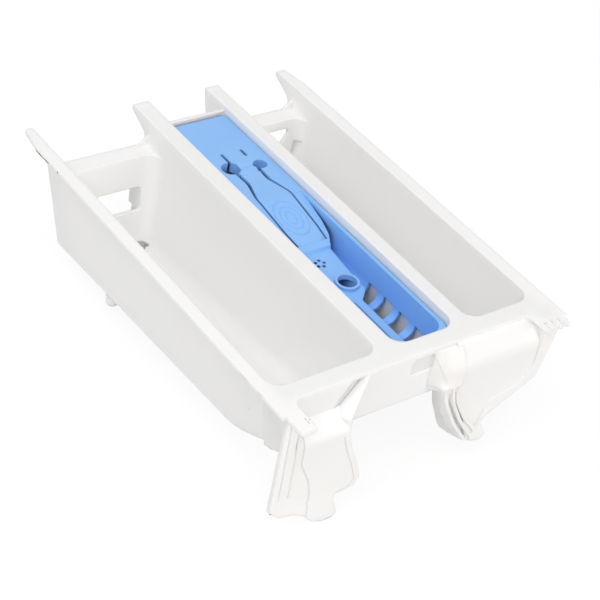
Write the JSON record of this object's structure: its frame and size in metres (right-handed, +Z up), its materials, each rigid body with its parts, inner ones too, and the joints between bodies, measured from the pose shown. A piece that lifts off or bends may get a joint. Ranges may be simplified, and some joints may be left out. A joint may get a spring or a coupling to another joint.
{
  "type": "detergent dispenser drawer",
  "caption": "Open washing machine detergent drawer with parallel troughs, a lift-out softener siphon insert and front wings for a handle panel.",
  "frame": {"origin": "bottom centre of the bounding box, under the middle of the drawer at the tip of the left wing", "axes": "+X to the right seen from the front, +Y rearwards into the machine, +Z up"},
  "size_m": [0.19, 0.2806, 0.088],
  "materials": {
    "white_plastic": "satin moulded white plastic",
    "blue_plastic": "satin moulded light blue plastic"
  },
  "bodies": {
    "drawer": {"drawer_body": "white_plastic"},
    "insert": {"softener_insert": "blue_plastic"},
    "tongue": {"release_tongue": "blue_plastic"}
  },
  "joints": [
    {"name": "insert_lift", "type": "slide", "parent": "drawer", "child": "insert", "axis": [0, 0, 1], "range_m": [0, 0.1]},
    {"name": "tongue_press", "type": "hinge", "parent": "insert", "child": "tongue", "pos_m": [0.01175, -0.00535, 0.07622], "axis": [-1, 0, 0], "range_deg": [0, 4], "stiffness_Nm_per_rad": 2}
  ]
}
